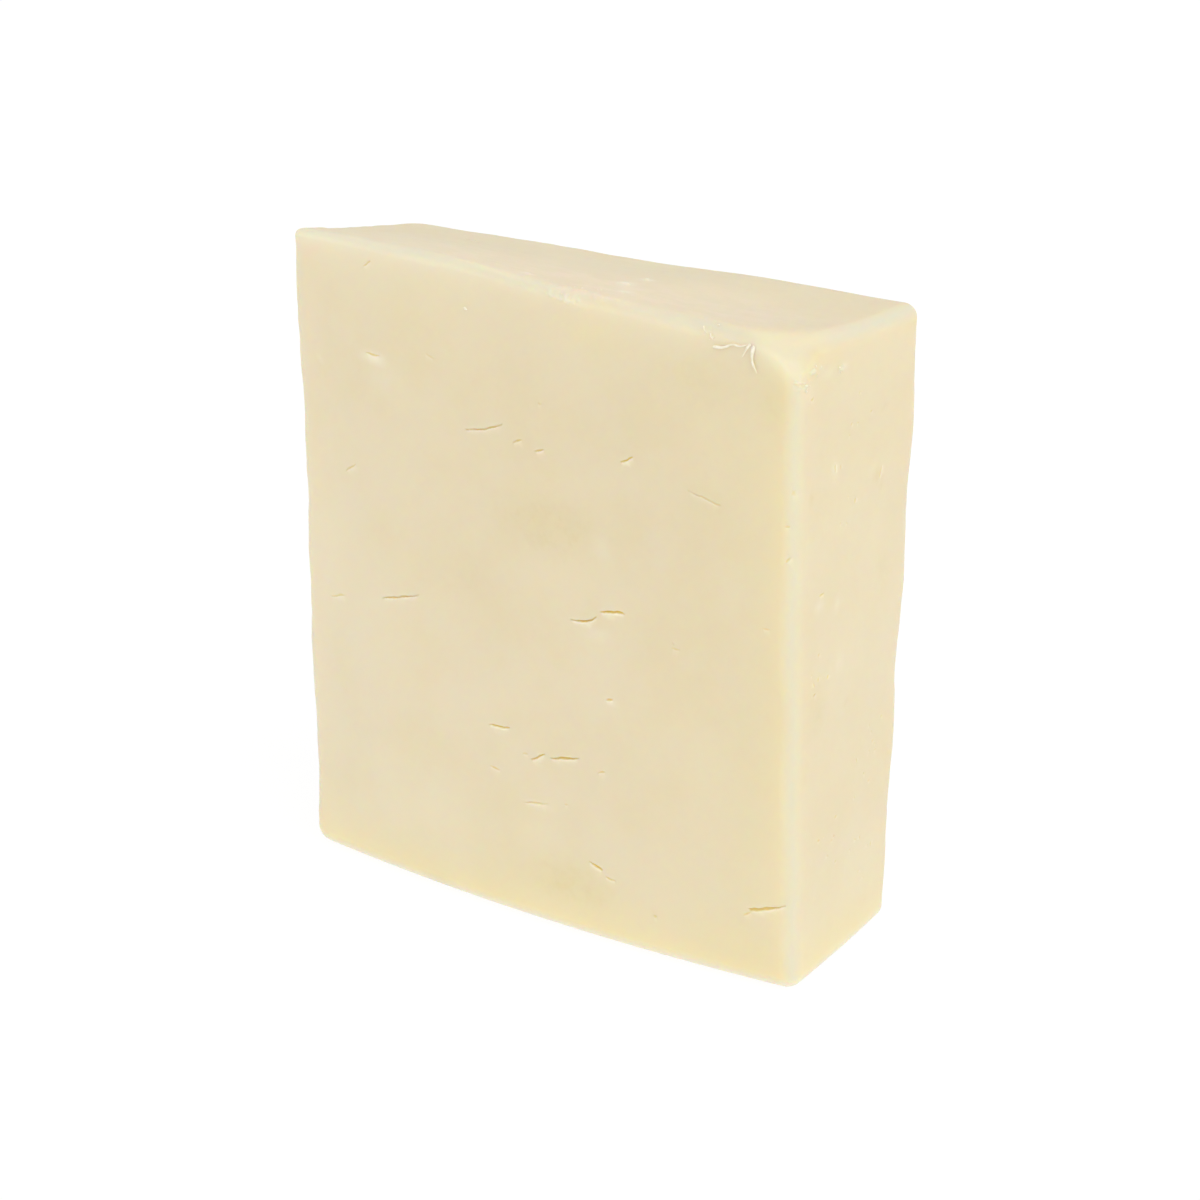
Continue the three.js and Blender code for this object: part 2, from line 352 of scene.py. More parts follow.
def settle(plain):
    """Moves points of the plain slab to their places in the real one."""
    s, t, u = slab_shares(plain).T
    low, front, right = (1 - u) / 2, (1 - t) / 2, (1 + s) / 2
    x, y, z = move_with_corners(plain).T
    y = y - FRONT_BOW * low * front * (1 - s * s)
    x = x + SIDE_BOW * low * right * (1 - t * t)
    z = z + TOP_SWELL * (1 - low) * front * np.exp(-(((s - SWELL_CENTRE) / SWELL_SPREAD) ** 2))
    wave = WAVE_HEIGHT * ramp(plain[:, 2], 0, CALM_HEIGHT)
    x = x + wave * waves(plain[:, 1], plain[:, 2], s)
    y = y + wave * waves(plain[:, 0], plain[:, 2], t)
    z = z + wave * waves(plain[:, 0], plain[:, 1], u)
    return press_corner(np.stack([x, y, z], axis=1))


def pressed_share(plain):
    """How much points of the plain slab belong to the pressed corner, from 0 to 1."""
    distance, _ = past_pressed_plane(move_with_corners(plain))
    return ramp(distance, *PRESSED_FROM)


# Faces of the plain slab that carry marks: the middle at the base, the ways across and up, and the way out
Face = namedtuple("Face", "middle across up out")
FRONT = Face((0, -HALF[1], 0), (1, 0, 0), (0, 0, 1), (0, -1, 0))
SIDE = Face((HALF[0], 0, 0), (0, 1, 0), (0, 0, 1), (1, 0, 0))
BACK = Face((0, HALF[1], 0), (-1, 0, 0), (0, 0, 1), (0, 1, 0))
LEFT = Face((-HALF[0], 0, 0), (0, -1, 0), (0, 0, 1), (-1, 0, 0))
TOP = Face((0, 0, HEIGHT), (1, 0, 0), (0, 1, 0), (0, 0, 1))


def on_face(face, across, up, out=0.0):
    """The point of the plain slab at a place on a face."""
    return (
        np.array(face.middle)
        + np.multiply.outer(across, face.across)
        + np.multiply.outer(up, face.up)
        + np.multiply.outer(out, face.out)
    )


def spread_cracks(count, face_width):
    """Cracks for a face that doesn't show, one after another by the spread's fractions."""
    made = []
    for k in range(1, count + 1):
        part = {name: (k * step) % 1 for name, step in SPREAD.items()}
        size = part["length"] ** 2
        made.append(
            Crack(
                across=(part["across"] - 0.5) * SPREAD_RANGE * face_width,
                up=(0.5 + (part["up"] - 0.5) * SPREAD_RANGE) * HEIGHT,
                length=SHORTEST_CRACK + (LONGEST_CRACK - SHORTEST_CRACK) * size,
                gape=NARROWEST_GAPE + (WIDEST_GAPE - NARROWEST_GAPE) * size,
                tilt=MEAN_TILT + (part["tilt"] - 0.5) * TILT_RANGE,
                sag=(part["tilt"] - 0.5) * SAG_RANGE,
            )
        )
    return made


def specks(face_width, start):
    """Specks for a face, in a seeded order."""
    draw = np.random.default_rng(SEED + start)
    half = np.array([face_width, HEIGHT]) * SPREAD_RANGE / 2
    made = []
    for _ in range(SPECK_GROUPS):
        centre = draw.uniform(-half, half) + (0, HEIGHT / 2)
        for _ in range(SPECKS_IN_GROUP):
            across, up = centre + draw.normal(0, SPECK_APART, 2)
            length = draw.uniform(*SPECK_LENGTH)
            made.append(
                Crack(
                    across=across,
                    up=up,
                    length=length,
                    gape=min(draw.uniform(*SPECK_GAPE), length),
                    tilt=draw.uniform(*SPECK_TILT),
                    sag=0,
                    depth=draw.uniform(*SPECK_DEPTH),
                )
            )
    return made


# The narrow faces and the top are a little deeper in colour
NARROW_STAINS = [(SIDE, 0.18), (LEFT, 0.18), (TOP, 0.24)]

# Soft patches of marks: the face, the place on it, how far they reach across and up, and their strength
Patch = namedtuple("Patch", "face across up wide high strength")
STAINS = [
    Patch(FRONT, 3.5, 64.0, 9.5, 4.4, 0.72),
    Patch(FRONT, 0, 82, 14, 9, 0.22),
    Patch(FRONT, 34, 76, 9, 10, 0.25),
    Patch(FRONT, 30, 27, 14, 14, 0.2),
    Patch(FRONT, 12, 95.3, 10, 3.6, 0.27),
    Patch(FRONT, 8.0, 8.5, 7, 3.5, 1.0),
    Patch(FRONT, 22.8, 7.3, 0.5, 0.5, 1.0),
    Patch(FRONT, 30, 92, 9, 5, 0.4),
    Patch(FRONT, 42, 92, 3, 5, 0.6),
    Patch(FRONT, -14, 52, 10, 4, 0.3),
    Patch(BACK, 18, 70, 11, 6, 0.7),
    Patch(BACK, -22, 30, 8, 5, 0.6),
    Patch(BACK, 30, 16, 5, 4, 0.8),
    Patch(LEFT, 3, 40, 5, 8, 0.6),
    Patch(SIDE, 4.2, 76.8, 0.8, 1.7, 0.9),
    Patch(SIDE, 5.8, 74.8, 0.7, 1.5, 0.7),
    Patch(SIDE, -11.9, 77.1, 0.8, 1.2, 0.8),
    Patch(SIDE, -2.0, 43.0, 0.9, 0.8, 0.6),
    Patch(SIDE, 6.0, 86.5, 1.0, 0.8, 0.6),
    Patch(SIDE, -10, 45, 3, 5, 0.5),
    Patch(SIDE, 8, 62, 4, 7, 0.35),
    Patch(SIDE, 0, 4.5, 18, 4.5, 0.5),
    Patch(FRONT, 37, 6, 12, 5, 0.25),
]
PALE_PATCHES = [
    Patch(FRONT, -46, 42, 11, 42, 0.40),
    Patch(FRONT, -25, 14, 14, 10, 0.3),
    Patch(FRONT, -34, 34, 12, 16, 0.2),
    Patch(FRONT, 8, 26, 40, 18, 0.12),
    Patch(FRONT, -26, 80, 5, 4, 0.25),
    Patch(FRONT, -19, 6, 10, 5, 0.15),
    Patch(FRONT, -29.5, 83.1, 2.6, 0.9, 1.2),
    Patch(FRONT, -40.6, 81.0, 0.7, 0.9, 0.6),
    Patch(FRONT, 12.0, 49.5, 2.6, 0.9, 0.45),
    Patch(FRONT, 15.2, 39.6, 1.0, 0.6, 0.6),
    Patch(FRONT, -37.5, 43.6, 1.6, 0.8, 0.5),
    Patch(FRONT, 1.6, 19.8, 3.0, 0.7, 0.5),
    Patch(FRONT, 12.3, 62.9, 1.6, 1.6, 0.35),
    Patch(SIDE, -13.0, 92.6, 1.6, 1.6, 0.35),
    Patch(SIDE, -8.4, 94.6, 1.6, 0.8, 0.35),
    Patch(SIDE, -6.4, 80.0, 0.9, 1.6, 0.5),
    Patch(SIDE, -9.3, 60.0, 1.2, 0.9, 0.6),
    Patch(SIDE, -4.5, 59.2, 0.7, 1.1, 0.5),
    Patch(SIDE, -4.3, 49.8, 0.6, 1.6, 0.5),
    Patch(SIDE, 3.2, 77.8, 0.8, 0.6, 0.5),
    Patch(SIDE, -4.7, 94.9, 0.8, 0.5, 0.7),
    Patch(SIDE, -11.1, 95.6, 1.5, 0.9, 0.3),
    # Pale marks on the top's little flakes: painted glints, partly paler crumbs
    Patch(TOP, 9.3, -5.3, 1.2, 0.9, 1.4),
    Patch(TOP, 10.0, -1.4, 1.0, 0.7, 1.2),
    Patch(TOP, 12.1, -9.6, 0.9, 0.7, 1.2),
    Patch(TOP, -2.7, -12.4, 1.2, 0.7, 1.0),
]
# Yellower places that carry on the painted glow near the top edge and near the base
GLOW_PATCHES = [
    Patch(FRONT, 12, 95.3, 10, 3.6, 0.3),
    Patch(FRONT, 37, 6, 12, 5, 0.45),
]
WORN = [
    Patch(SIDE, -11.0, 98.4, 3.0, 3.0, 0.9),
    Patch(FRONT, 13.5, 99.2, 4.5, 2.0, 0.6),
]
WORN_STAIN = 0.6
FLAKY = [
    Patch(SIDE, -14.4, 94.0, 1.1, 0.9, 1.2),
    Patch(SIDE, -12.0, 95.5, 1.4, 0.7, 2.1),
    Patch(SIDE, -5.6, 94.8, 1.1, 0.5, 1.2),
    Patch(FRONT, 6.0, 98.8, 4.0, 0.7, 1.0),
    Patch(FRONT, 30.8, 98.7, 1.2, 0.8, 0.7),
    Patch(TOP, 8.0, -14.4, 7.0, 1.4, 0.8),
    Patch(TOP, 9.3, -5.3, 0.8, 0.6, 1.8),
    Patch(TOP, 10.0, -1.4, 0.7, 0.5, 1.6),
    Patch(TOP, 12.1, -9.6, 0.7, 0.5, 1.6),
    Patch(TOP, -2.7, -12.4, 0.8, 0.5, 1.6),
    Patch(TOP, -26.0, 4.0, 1.2, 0.7, 1.4),
    Patch(BACK, 14.0, 98.8, 6.0, 0.8, 0.9),
    Patch(LEFT, -4.0, 98.6, 4.0, 0.8, 0.8),
]
SCRAPED = [
    Patch(TOP, 8, -9, 36, 7, 1.0),
    Patch(TOP, 26, -6, 16, 8, 0.7),
]

# All the cracks, pinholes and specks, face by face
MARKED_FACES = [
    (FRONT, FRONT_CRACKS + FRONT_FAINT),
    (SIDE, SIDE_CRACKS + SIDE_FAINT + specks(THICKNESS, start=2)),
    (BACK, spread_cracks(BACK_CRACKS, WIDTH) + specks(WIDTH, start=3)),
    (LEFT, spread_cracks(LEFT_CRACKS, THICKNESS) + specks(THICKNESS, start=4)),
]


def ripple(along, start):
    """A wandering number from about -1 to 1 along a line."""
    total = 0
    for k, length in enumerate(RIPPLE_LENGTHS):
        total = total + np.sin(2 * math.pi * along / length + start * (k + 1) * GOLDEN_ANGLE) / (k + 1)
    return total / len(RIPPLE_LENGTHS) * RIPPLE_SIZE


def crack_middle(crack, share, along, start):
    """How far a crack's middle line lies over the straight one between its ends."""
    return -crack.sag * (1 - share**2) + CRACK_WANDER * ripple(along, start)


def crack_path(crack, share, start):
    """Places on the face along a crack's middle line, at shares from -1 to 1 of its length."""
    tilt = math.radians(crack.tilt)
    along = share * crack.length / 2
    over = crack_middle(crack, share, along, start)
    across = crack.across + along * math.cos(tilt) - over * math.sin(tilt)
    up = crack.up + along * math.sin(tilt) + over * math.cos(tilt)
    return across, up


def crack_field(a, b, crack, start):
    """How far into a crack places on its face are, from 0 to 1, and how much they belong to its lips."""
    tilt = math.radians(crack.tilt)
    along = (a - crack.across) * math.cos(tilt) + (b - crack.up) * math.sin(tilt)
    over = (b - crack.up) * math.cos(tilt) - (a - crack.across) * math.sin(tilt)
    share = 2 * along / crack.length
    inside = np.clip(1 - share**2, 0, 1)
    change = (1 - crack.taper * share) * (1 + GAPE_CHANGE * ripple(along, start + GAPE_START))
    narrowing = inside ** (END_POWER - WEDGE_POWER * abs(crack.taper))
    half_gape = CLOSED_UP * crack.gape / 2 * narrowing * change
    off = over - crack_middle(crack, share, along, start)
    opened = np.exp(-((off / np.maximum(half_gape, THINNEST_GAPE)) ** WALL_POWER))
    opened = np.where(inside > 0, opened, 0)
    # The lower lip is paler, partly whitened cheese and partly a painted highlight where the light catches it
    side = np.where(off < 0, 1.0, UPPER_LIP)
    from_gape = np.maximum(np.abs(off) - half_gape, 0)
    lips = side * np.exp(-((from_gape / LIP_WIDTH) ** 2)) * ramp(inside, 0, LIP_END)
    return opened, lips


def surface_grid():
    """Points of the plain slab's surface on a fine grid, with its quads wound outwards."""
    counts = [steps + 2 * ROUND_STEPS for steps in FLAT_STEPS]
    radix = max(counts) + 1
    triples, quads, start = [], [], 0
    for axis in range(3):
        others = [(axis + 1) % 3, (axis + 2) % 3]
        rows, columns = (counts[k] + 1 for k in others)
        row, column = np.meshgrid(np.arange(rows), np.arange(columns), indexing="ij")
        for end in (0, counts[axis]):
            triple = np.zeros((rows, columns, 3), int)
            triple[..., axis] = end
            triple[..., others[0]] = row
            triple[..., others[1]] = column
            number = start + row * columns + column
            corners = [number[:-1, :-1], number[1:, :-1], number[1:, 1:], number[:-1, 1:]]
            if end == 0:
                corners.reverse()
            triples.append(triple.reshape(-1, 3))
            quads.append(np.stack(corners, axis=-1).reshape(-1, 4))
            start += rows * columns
    triples = np.concatenate(triples)
    keys = triples @ (radix * radix, radix, 1)
    _, first, place = np.unique(keys, return_index=True, return_inverse=True)
    return rounded_box(triples[first]), place[np.concatenate(quads)]


def rounded_box(triples):
    """Places of grid points on the plain slab, with its edges rounded by the radii of the corners."""
    from_start = triples - ROUND_STEPS
    flat = 2 * np.clip(from_start, 0, FLAT_STEPS) / FLAT_STEPS - 1
    steps = np.minimum(from_start, 0) + np.maximum(from_start - FLAT_STEPS, 0)
    outward = np.tan(math.pi / 4 * steps / ROUND_STEPS)
    outward /= np.linalg.norm(outward, axis=1, keepdims=True)
    radius = between_corners(flat, CORNER_RADII)[:, None]
    return (HALF - radius) * flat + radius * outward + (0, 0, HALF[2])


def mark_places():
    """Points on the plain slab that need a finer mesh, with how far round each, and how finely."""
    places = []
    for face, cracks in MARKED_FACES:
        for number, crack in enumerate(cracks):
            shares = np.linspace(-1, 1, 2 + int(crack.length / CRACK_STEP))
            across, up = crack_path(crack, shares, number)
            places += [(point, CRACK_REACH, CRACK_SPACING) for point in on_face(face, across, up)]
    for across in np.arange(SMEAR_FROM - SMEAR_MARGIN, SMEAR_TO + SMEAR_MARGIN, CRACK_STEP):
        places.append((on_face(FRONT, across, SMEAR_LOW), SMEAR_REACH, CRACK_SPACING))
    for patch in FLAKY:
        steps = np.arange(-FLAKE_REACH * patch.wide, FLAKE_REACH * patch.wide, FLAKE_STEP)
        along = on_face(patch.face, patch.across + steps, patch.up)
        places += [(point, FLAKE_REACH * patch.high, FLAKE_SPACING) for point in along]
    return places


def refine(mesh_code, places):
    """Halves the edges near the places until they are short."""
    tree = kdtree.KDTree(len(places))
    for number, (point, _, _) in enumerate(places):
        tree.insert(point, number)
    tree.balance()
    for _ in range(MARK_PASSES):
        halved = []
        for edge in mesh_code.edges:
            length = edge.calc_length()
            middle = (edge.verts[0].co + edge.verts[1].co) / 2
            _, number, distance = tree.find(middle)
            _, reach, spacing = places[number]
            if length > spacing and distance < reach + length / 2:
                halved.append(edge)
        if not halved:
            break
        bmesh.ops.subdivide_edges(mesh_code, edges=halved, cuts=1, use_grid_fill=True)
    many_sided = [face for face in mesh_code.faces if len(face.verts) > 4]
    bmesh.ops.triangulate(mesh_code, faces=many_sided)


def unevenness(points, kind):
    """Seeded roughness from about -1 to 1 at points, of one kind of grain."""
    start = Vector((kind.start, 0, 0))
    places = [Vector(point) / kind.size + start for point in points]
    return np.array([noise.fractal(place, LAYER_FADE, LAYER_STEP, kind.layers) for place in places])


class Relief:
    """What is added to the plain slab at each point: height along the way out, and marks for colours."""

    def __init__(self, plain, outward):
        self.plain = plain
        self.outward = outward
        self.height = np.zeros(len(plain))
        self.crack = np.zeros(len(plain))
        self.lips = np.zeros(len(plain))
        self.stain = np.zeros(len(plain))
        self.scraped = np.zeros(len(plain))
        self.pressed = pressed_share(plain)
        self.high = ramp(plain[:, 2], *TOP_BAND)
        self.mark_edges()
        self.mark_rims()

    def mark_edges(self):
        """Pale edge bands of painted sheen, the pale fade under the top edge, and the paler rim at the base,
        painted light from below.
        """
        up, outward = self.plain[:, 2], self.outward
        from_edge = np.sort(HALF - np.abs(self.plain - (0, 0, HALF[2])), axis=1)[:, 1]
        self.edge = 1 - ramp(from_edge, EDGE_CORE, EDGE_WIDTH)
        self.seen = 1 - ramp(-outward[:, 2], *BASE_LOOK)
        self.upright = 1 - ramp(outward[:, 2], *TOP_LOOK)
        band = 1 - ramp(from_edge, BAND_CORE, BAND_WIDTH)
        far = np.maximum(ramp(outward[:, 1], *FAR_LOOK), ramp(-outward[:, 0], *FAR_LOOK))
        broad = ramp(np.abs(outward[:, 1]), *FACE_LOOK)
        fade = np.exp((up - HEIGHT) / FADE_WIDTH) * self.upright * broad
        # The paler rim at the base: painted light from the floor below
        low = (1 - ramp(up, LOW_PALE_FROM, LOW_PALE_WIDTH)) * self.seen
        # The edge band is a painted sheen, weaker on the far faces that turn from the lamps
        self.wax_and_sheen = np.maximum(EDGE_SHEEN * band * self.seen * (1 - FAR_LESS_SHEEN * far), FADE_WAX * fade)
        self.pale = np.maximum(FADE_PALE * fade, LOW_PALE * low)

    def mark_rims(self):
        """Painted glow: yellower rims of the faces where light shines through thin edges and up from the
        floor; and the deeper colour of the narrow ones.
        """
        up = self.plain[:, 2]
        glow = GLOW_BUTTER * np.exp((up - HEIGHT) / GLOW_WIDTH) * self.upright
        self.painted_glow = np.maximum(np.exp(-up / LOW_WIDTH) * self.seen, glow)
        for face in (FRONT, BACK):
            across, _, looks = self.face_places(face)
            rim = RIM_BUTTER * np.exp((across - HALF[0]) / RIM_WIDTH) * ramp(looks, *FACE_LOOK)
            self.painted_glow = np.maximum(self.painted_glow, rim)
        for face, stain in NARROW_STAINS:
            _, _, looks = self.face_places(face)
            self.stain = np.maximum(self.stain, stain * ramp(looks, *FACE_LOOK))

    def face_places(self, face):
        """Places across and up a face, and how squarely each point looks out of it."""
        from_middle = self.plain - face.middle
        looks = np.clip(self.outward @ face.out, 0, 1)
        return from_middle @ face.across, from_middle @ face.up, looks

    def add_cracks(self, face, cracks):
        """Cracks of a face, with their lips, the painted shade inside them, and the paler lower lips that are
        partly painted highlight.
        """
        a, b, looks = self.face_places(face)
        for number, crack in enumerate(cracks):
            reach = crack.length / 2 + LIP_REACH
            near = (np.abs(a - crack.across) < reach) & (np.abs(b - crack.up) < reach)
            near &= looks > CRACK_LOOK
            opened, lips = crack_field(a[near], b[near], crack, number)
            depth = crack.depth * (CRACK_SKIN + CRACK_DEPTH_PER_LENGTH * crack.length)
            self.height[near] += LIP_HEIGHT * crack.depth * lips - (depth + LIP_HEIGHT) * opened
            # Painted shade inside the crack, fainter in the shallow ones
            crack_shade = opened * (SHALLOW_GOLD + (1 - SHALLOW_GOLD) * crack.depth)
            pale_lips = lips * (1 - opened) * (SHALLOW_LIPS + (1 - SHALLOW_LIPS) * crack.depth)
            self.crack[near] = np.maximum(self.crack[near], crack_shade)
            self.lips[near] = np.maximum(self.lips[near], pale_lips)

    def patch_field(self, patches):
        """How much each point belongs to the patches, from 0 to the strongest one's strength."""
        total = np.zeros(len(self.plain))
        for patch in patches:
            a, b, looks = self.face_places(patch.face)
            reach = ((a - patch.across) / patch.wide) ** 2 + ((b - patch.up) / patch.high) ** 2
            total = np.maximum(total, patch.strength * np.exp(-reach) * ramp(looks, *PATCH_LOOK))
        return total

    def add_patches(self):
        """Stains, scraped and worn places, the yellower places that carry on the painted glow, and the paler
        ones, among them painted glints on the top's flakes.
        """
        self.stain = np.maximum(self.stain, self.patch_field(STAINS))
        self.scraped = self.patch_field(SCRAPED)
        worn = self.patch_field(WORN)
        self.pressed *= 1 - worn
        self.wax_and_sheen *= 1 - worn
        self.stain = np.maximum(self.stain, WORN_STAIN * worn)
        self.painted_glow = np.maximum(self.painted_glow, self.patch_field(GLOW_PATCHES))
        self.pale = np.maximum(self.pale, self.patch_field(PALE_PATCHES))

    def add_grain(self):
        """Fine unevenness, stronger along the edges and none at the base."""
        calm = ramp(self.plain[:, 2], 0, CALM_BASE)
        at_edges = calm * self.edge
        for kind, share in ((FACE_GRAIN, calm), (EDGE_WANDER, at_edges), (EDGE_GRAIN, at_edges)):
            self.height += share * kind.height * unevenness(self.plain, kind)

    def add_smear(self):
        """The ragged lip over the top edge of the front."""
        a, b, looks = self.face_places(FRONT)
        full = SMEAR_FROM + SMEAR_FULL
        along = ramp(a, SMEAR_FROM, full) * (1 - ramp(a, SMEAR_TO - SMEAR_FADE, SMEAR_TO))
        ragged = SMEAR_LOW + SMEAR_SLOPE * (a - (SMEAR_FROM + SMEAR_TO) / 2)
        ragged = ragged + SMEAR_RAGGED * (ripple(a, SEED) + ripple(a * FINER_RAGS, SEED + 1))
        hangs = along * ramp(b, ragged - SMEAR_BRINK, ragged + SMEAR_BRINK) * ramp(looks, *SMEAR_LOOK)
        self.height += SMEAR_HEIGHT * hangs
        rubbed = ramp(a, SMEAR_FROM - RUBBED_BEFORE, full)
        rubbed = rubbed * (1 - ramp(a, RUBBED_TO - RUBBED_FADE, RUBBED_TO))
        rubbed = rubbed * self.edge * ramp(b, *RUBBED_UP)
        self.scraped = np.maximum(self.scraped, RUBBED_SCRAPED * rubbed)
        self.wax_and_sheen = np.maximum(self.wax_and_sheen, SMEAR_WAX * hangs)

    def add_flakes(self):
        """Loose flakes of the rubbed places, raised when the form has settled."""
        field = self.patch_field(FLAKY)
        near = field > FLAKE_LIMIT
        uneven = unevenness(self.plain[near], FLAKE_GRAIN)
        firm = np.maximum(field[near] - 1, 0)
        field[near] = np.minimum(field[near], 1) * ramp(uneven + firm, *FLAKE_GAPS)
        field[~near] = 0
        self.flakes = FLAKE_GRAIN.height * field
        self.wax_and_sheen = np.maximum(self.wax_and_sheen, FLAKE_WAX * field)


def outward_of(plain):
    """The way out of the plain slab at points of its surface."""
    centred = plain - (0, 0, HALF[2])
    radius = between_corners(np.clip(centred / HALF, -1, 1), CORNER_RADII)[:, None]
    core = np.clip(centred, radius - HALF, HALF - radius)
    outward = centred - core
    return outward / np.linalg.norm(outward, axis=1, keepdims=True)


# Marks that the mesh carries for the cheese's colours
# Some of these marks are painted light and shade: the edge sheen, the yellow glow at thin rims, the shade in
# the cracks, and part of the pale and lip marks
MARKS = ("crack", "lips", "pale", "wax_and_sheen", "high", "pressed", "painted_glow", "stain", "scraped")


def put_mark(mesh, name, values):
    """Keeps a number for each vertex under a name that the material reads."""
    made = mesh.attributes.new(name, "FLOAT", "POINT")
    made.data.foreach_set("value", np.asarray(values, np.float32))


def place_vertices(mesh, places):
    """Moves a mesh's vertices to places in millimetres."""
    mesh.vertices.foreach_set("co", (places * MM).astype(np.float32).ravel())
    mesh.update()


def block_mesh():
    """The block's fine mesh in the frame, with the shift from the plain slab's place to it."""
    plain, quads = surface_grid()
    settled = settle(plain)
    low, high = (np.array(corner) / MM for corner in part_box(BLOCK))
    middle = (low + high) / 2 - (settled.min(0) + settled.max(0)) / 2
    shift = np.array([middle[0], middle[1], low[2] - settled[:, 2].min()])
    mesh = bpy.data.meshes.new("cheese_block")
    mesh.from_pydata(plain.tolist(), [], quads.tolist())
    mesh_code = bmesh.new()
    mesh_code.from_mesh(mesh)
    refine(mesh_code, mark_places())
    mesh_code.to_mesh(mesh)
    mesh_code.free()
    plain = np.array([vertex.co for vertex in mesh.vertices], float)
    relief = Relief(plain, outward_of(plain))
    for face, cracks in MARKED_FACES:
        relief.add_cracks(face, cracks)
    relief.add_patches()
    relief.add_grain()
    relief.add_smear()
    relief.add_flakes()
    places = settle(plain + relief.height[:, None] * relief.outward) + shift
    places[:, 2] = np.maximum(places[:, 2], 0)
    place_vertices(mesh, places)
    normals = np.array([vertex.normal for vertex in mesh.vertices])
    place_vertices(mesh, places + relief.flakes[:, None] * normals)
    for name in MARKS:
        put_mark(mesh, name, getattr(relief, name))
    mesh.shade_smooth()
    return mesh, shift


# How a seen colour, from 0 to 255, becomes an amount of light
BRIGHTEST = 255
CURVE_OFFSET = 0.055
CURVE_POWER = 2.4


def linear(*seen):
    """A seen red, green and blue as the amounts of light that the shaders take."""
    amounts = [((c / BRIGHTEST + CURVE_OFFSET) / (1 + CURVE_OFFSET)) ** CURVE_POWER for c in seen]
    return (*amounts, 1.0)


# Colours as seen on the real cheese, some of them standing in for light and shade as noted beside them
CREAM = linear(230, 217, 185)
DEEP_CREAM = linear(228, 214, 179)
GREY_CREAM = linear(230, 217, 188)
OLIVE = linear(221, 206, 162)
PINK_CREAM = linear(238, 221, 195)
# Painted yellow glow of light through thin rims and up from the floor
GLOW_YELLOW = linear(239, 226, 174)
# Painted sheen of the edge bands, and also the waxy colour of the smear and flakes
SHEEN_WAX = linear(221, 217, 196)
# The top edge's band, painted duller as shade against the stronger light on it
TOP_SHEEN_WAX = linear(219, 217, 197)
PRESSED_CREAM = linear(227, 221, 188)
# Painted shade inside the cracks
CRACK_SHADE_GOLD = linear(231, 209, 100)
FLECK = linear(241, 233, 210)
# Pale crack lips, partly whitened cheese and partly painted highlight
LIP = linear(249, 237, 213)
CRUMB_PALE = linear(237, 229, 202)
SHRED_WHITE = linear(246, 240, 222)

# Mottling: size of the patches in millimetres, how much finer detail they have and how strong that is, the
# limits between which they show, and how they are stretched
Mottle = namedtuple("Mottle", "size detail roughness low high stretch", defaults=(0, 1, (1, 1, 1)))
CLOUDS = Mottle(18, 4, 0.6, 0.36, 0.64)
CURDS = Mottle(6, 4, 0.6, 0.40, 0.66)
STREAKS = Mottle(3.0, 4, 0.6, 0.34, 0.68, stretch=(2.2, 1, 1))
SMUDGES = Mottle(1.8, 3, 0.6, 0.45, 0.7)
FINE_BUMPS = Mottle(0.9, 3, 0.6)
SMEARS = Mottle(3.0, 3, 0.55, stretch=(2.5, 1, 1))
SHRED_MOTTLE = Mottle(0.7, 3, 0.6, 0.35, 0.65)

# How much of each colour shows where its mark is full, in the mottled ones evenly and with the mottling
CURD_SHARE = 0.5
STAIN_EVEN = 0.5
STAIN_CURDS = 0.3
STAIN_SMUDGES = 0.4
PRESSED_SHARE = 0.85
SCRAPED_EVEN = 0.35
SCRAPED_STREAKS = 0.65
PALE_SHARE = 0.7
LIP_SHARE = 0.8
GOLD_SHARE = 0.9

# Finish: satin, duller in the cracks, with bumps in millimetres, and light that spreads inside the cheese
SATIN = 0.40
SATIN_CHANGE = 0.10
CRACK_DULLNESS = 0.25
FINE_SHARE = 0.5
SCRAPE_SHARE = 0.5
CHEESE_BUMPS = 0.04
SHRED_SATIN = 0.5
SHRED_BUMPS = 0.02
INNER_LIGHT = 0.85
INNER_SPREAD = (1.0, 0.62, 0.25)
INNER_DEPTH = 3.0
CHEESE_IOR = 1.45

# Places of the colour sockets on a Mix node
MIX_SHARE = 0
MIX_FIRST = 6
MIX_SECOND = 7
MIX_RESULT = 2


class Value:
    """A socket that Python's arithmetic works on, adding Math nodes."""

    def __init__(self, paint, socket):
        self.paint = paint
        self.socket = socket

    def maths(self, operation, first, second):
        """A Math node on sockets or numbers."""
        return self.paint.node("ShaderNodeMath", {"operation": operation}, {0: first, 1: second})

    def __add__(self, other):
        return self.maths("ADD", self, other)

    def __mul__(self, other):
        return self.maths("MULTIPLY", self, other)

    __radd__ = __add__
    __rmul__ = __mul__


